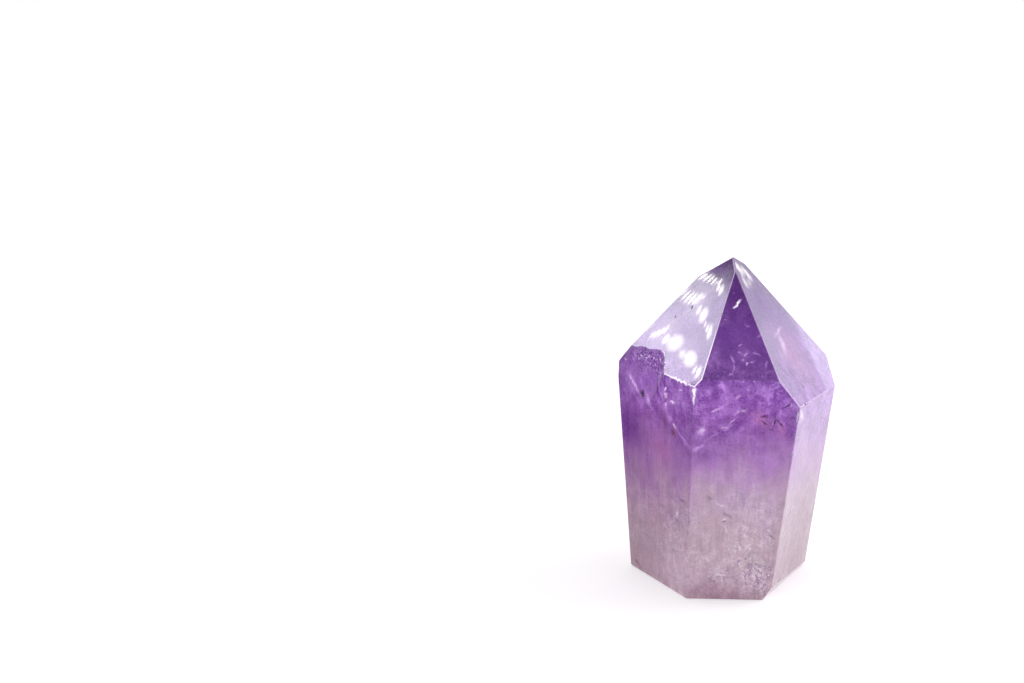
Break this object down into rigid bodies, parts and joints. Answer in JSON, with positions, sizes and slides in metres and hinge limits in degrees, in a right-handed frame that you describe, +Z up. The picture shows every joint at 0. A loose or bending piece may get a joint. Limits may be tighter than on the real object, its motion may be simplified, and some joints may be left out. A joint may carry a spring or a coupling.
{
  "type": "polished amethyst point",
  "caption": "Upright polished quartz crystal with a tapering prism, a faceted tip and a flat sawn foot, violet at the top and milky below.",
  "frame": {"origin": "centre of the overall box in X and Y, on the flat foot in Z", "axes": "+Z up along the crystal towards its tip, -Y out of its broad front face, +X to its right as seen from the front"},
  "size_m": [0.043, 0.0448, 0.0658],
  "materials": {
    "amethyst": "polished"
  },
  "bodies": {
    "root": {"amethyst_point": "amethyst"}
  },
  "joints": []
}
